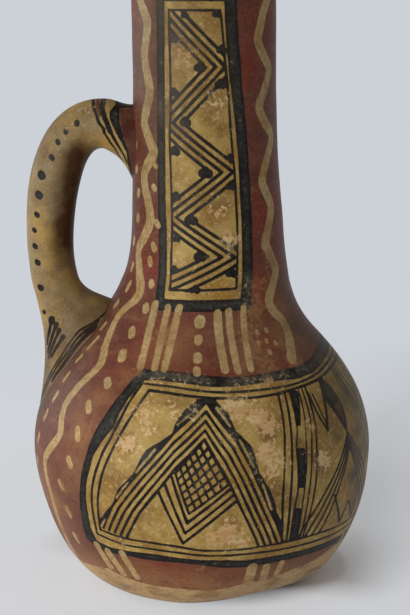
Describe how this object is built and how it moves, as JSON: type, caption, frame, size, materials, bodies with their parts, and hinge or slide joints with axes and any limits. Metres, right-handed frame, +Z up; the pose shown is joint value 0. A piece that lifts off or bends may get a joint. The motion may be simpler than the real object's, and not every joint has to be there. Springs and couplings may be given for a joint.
{
  "type": "bottle vase",
  "caption": "Hand-built earthenware bottle vase with a round belly, long open neck and one loop handle, painted in red, black and buff slip.",
  "frame": {"origin": "centre of the flat foot, on the surface that the vase stands on", "axes": "+Z up along the axis of the belly and neck, -X towards the handle"},
  "size_m": [0.207, 0.2026, 0.386],
  "materials": {
    "bare_clay": "matte",
    "painted_clay": "satin",
    "buff_clay": "satin"
  },
  "bodies": {
    "root": {"base_slab": "bare_clay", "lower_belly": "painted_clay", "middle_belly": "painted_clay", "shoulder": "painted_clay", "neck_lower": "painted_clay", "neck_upper": "painted_clay", "rim": "painted_clay", "handle": "buff_clay", "handle_upper_luting": "buff_clay", "handle_lower_luting": "buff_clay"}
  },
  "joints": []
}
